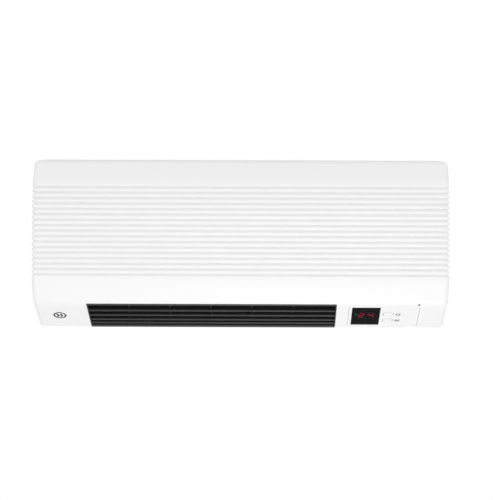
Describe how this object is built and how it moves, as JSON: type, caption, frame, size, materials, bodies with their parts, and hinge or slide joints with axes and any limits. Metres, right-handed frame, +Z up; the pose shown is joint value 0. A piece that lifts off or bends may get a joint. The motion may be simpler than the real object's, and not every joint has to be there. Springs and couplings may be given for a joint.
{
  "type": "wall-mounted fan convector heater",
  "caption": "Wall-mounted fan convector heater: ribbed white casing with a black outlet grille and a small control panel on its slanted lower face.",
  "frame": {"origin": "centre of the back face, at mid-height, in the plane of the wall", "axes": "+X to the right seen from the front, +Z up, +Y into the wall, so the front faces -Y"},
  "size_m": [0.4465, 0.115, 0.1855],
  "materials": {
    "white_shell": "satin moulded ABS",
    "white_trim": "satin moulded ABS",
    "black_grille": "satin heat-resistant plastic",
    "impeller_plastic": "satin glass-filled plastic",
    "switch_plastic": "semi-gloss",
    "grey_plastic": "satin",
    "duct_plastic": "matt",
    "phenolic": "matt moulded phenolic",
    "smoked_window": "polished, smoked",
    "display_face": "matt",
    "circuit_board": "solder mask",
    "relay_blue": "semi-gloss",
    "component_black": "satin",
    "coil_core": "taped winding on a laminated core",
    "terminal_green": "satin",
    "heater_aluminium": "mill finish",
    "motor_steel": "zinc plated",
    "steel": "zinc plated",
    "bronze": "sintered",
    "black_rubber": "matt",
    "filter_net": "woven nylon net",
    "red_lead": "silicone sleeve",
    "grey_lead": "PVC sleeve",
    "pilot_lens": "polished"
  },
  "bodies": {
    "chassis": {"front_cover": "white_shell", "control_panel": "white_shell", "rear_housing": "white_trim", "intake_grille": "white_trim", "outlet_grille": "black_grille", "rocker_housing": "switch_plastic", "filter_frame": "grey_plastic", "motor_mount": "grey_plastic", "rear_scroll": "duct_plastic", "front_duct": "duct_plastic", "left_end_plate": "duct_plastic", "right_end_plate": "duct_plastic", "heater_holder_left": "phenolic", "heater_holder_right": "phenolic", "thermal_cutout": "phenolic", "display_window": "smoked_window", "led_display": "display_face", "power_board": "circuit_board", "display_board": "circuit_board", "relay_1": "relay_blue", "relay_2": "relay_blue", "capacitor": "component_black", "ir_receiver": "component_black", "tact_switch_1": "component_black", "tact_switch_2": "component_black", "transformer": "coil_core", "terminal_block": "terminal_green", "heater_element_1": "heater_aluminium", "heater_element_2": "heater_aluminium", "heater_element_3": "heater_aluminium", "thermal_fuse": "heater_aluminium", "motor_stator": "motor_steel", "cover_screw_1": "steel", "cover_screw_2": "steel", "cover_screw_3": "steel", "motor_screw_1": "steel", "motor_screw_2": "steel", "board_screw_1": "steel", "board_screw_2": "steel", "board_screw_3": "steel", "board_screw_4": "steel", "panel_screw_1": "steel", "panel_screw_2": "steel", "bearing_bush": "bronze", "bearing_rubber": "black_rubber", "cord_gland": "black_rubber", "filter_net": "filter_net", "heater_lead_1": "red_lead", "heater_lead_2": "red_lead", "motor_lead": "grey_lead", "pilot_lamp": "pilot_lens"},
    "rotor": {"impeller": "impeller_plastic", "impeller_stub_shaft": "steel", "hub_set_screw": "steel", "motor_rotor": "motor_steel"},
    "power_button": {"power_button": "white_trim"},
    "mode_button": {"mode_button": "white_trim"},
    "rocker": {"rocker_paddle": "switch_plastic"}
  },
  "joints": [
    {"name": "impeller_spin", "type": "hinge", "parent": "chassis", "child": "rotor", "pos_m": [0, -0.05, 0.026], "axis": [1, 0, 0], "continuous": true},
    {"name": "power_button_press", "type": "slide", "parent": "chassis", "child": "power_button", "axis": [0, 0.4993, 0.8664], "range_m": [0, 0.0005], "stiffness_N_per_m": 800, "springref_m": -0.0005},
    {"name": "mode_button_press", "type": "slide", "parent": "chassis", "child": "mode_button", "axis": [0, 0.4993, 0.8664], "range_m": [0, 0.0005], "stiffness_N_per_m": 800, "springref_m": -0.0005},
    {"name": "rocker_tilt", "type": "hinge", "parent": "chassis", "child": "rocker", "pos_m": [0.2215, -0.055, -0.028], "axis": [0, 1, 0], "range_deg": [-20, 0]}
  ]
}
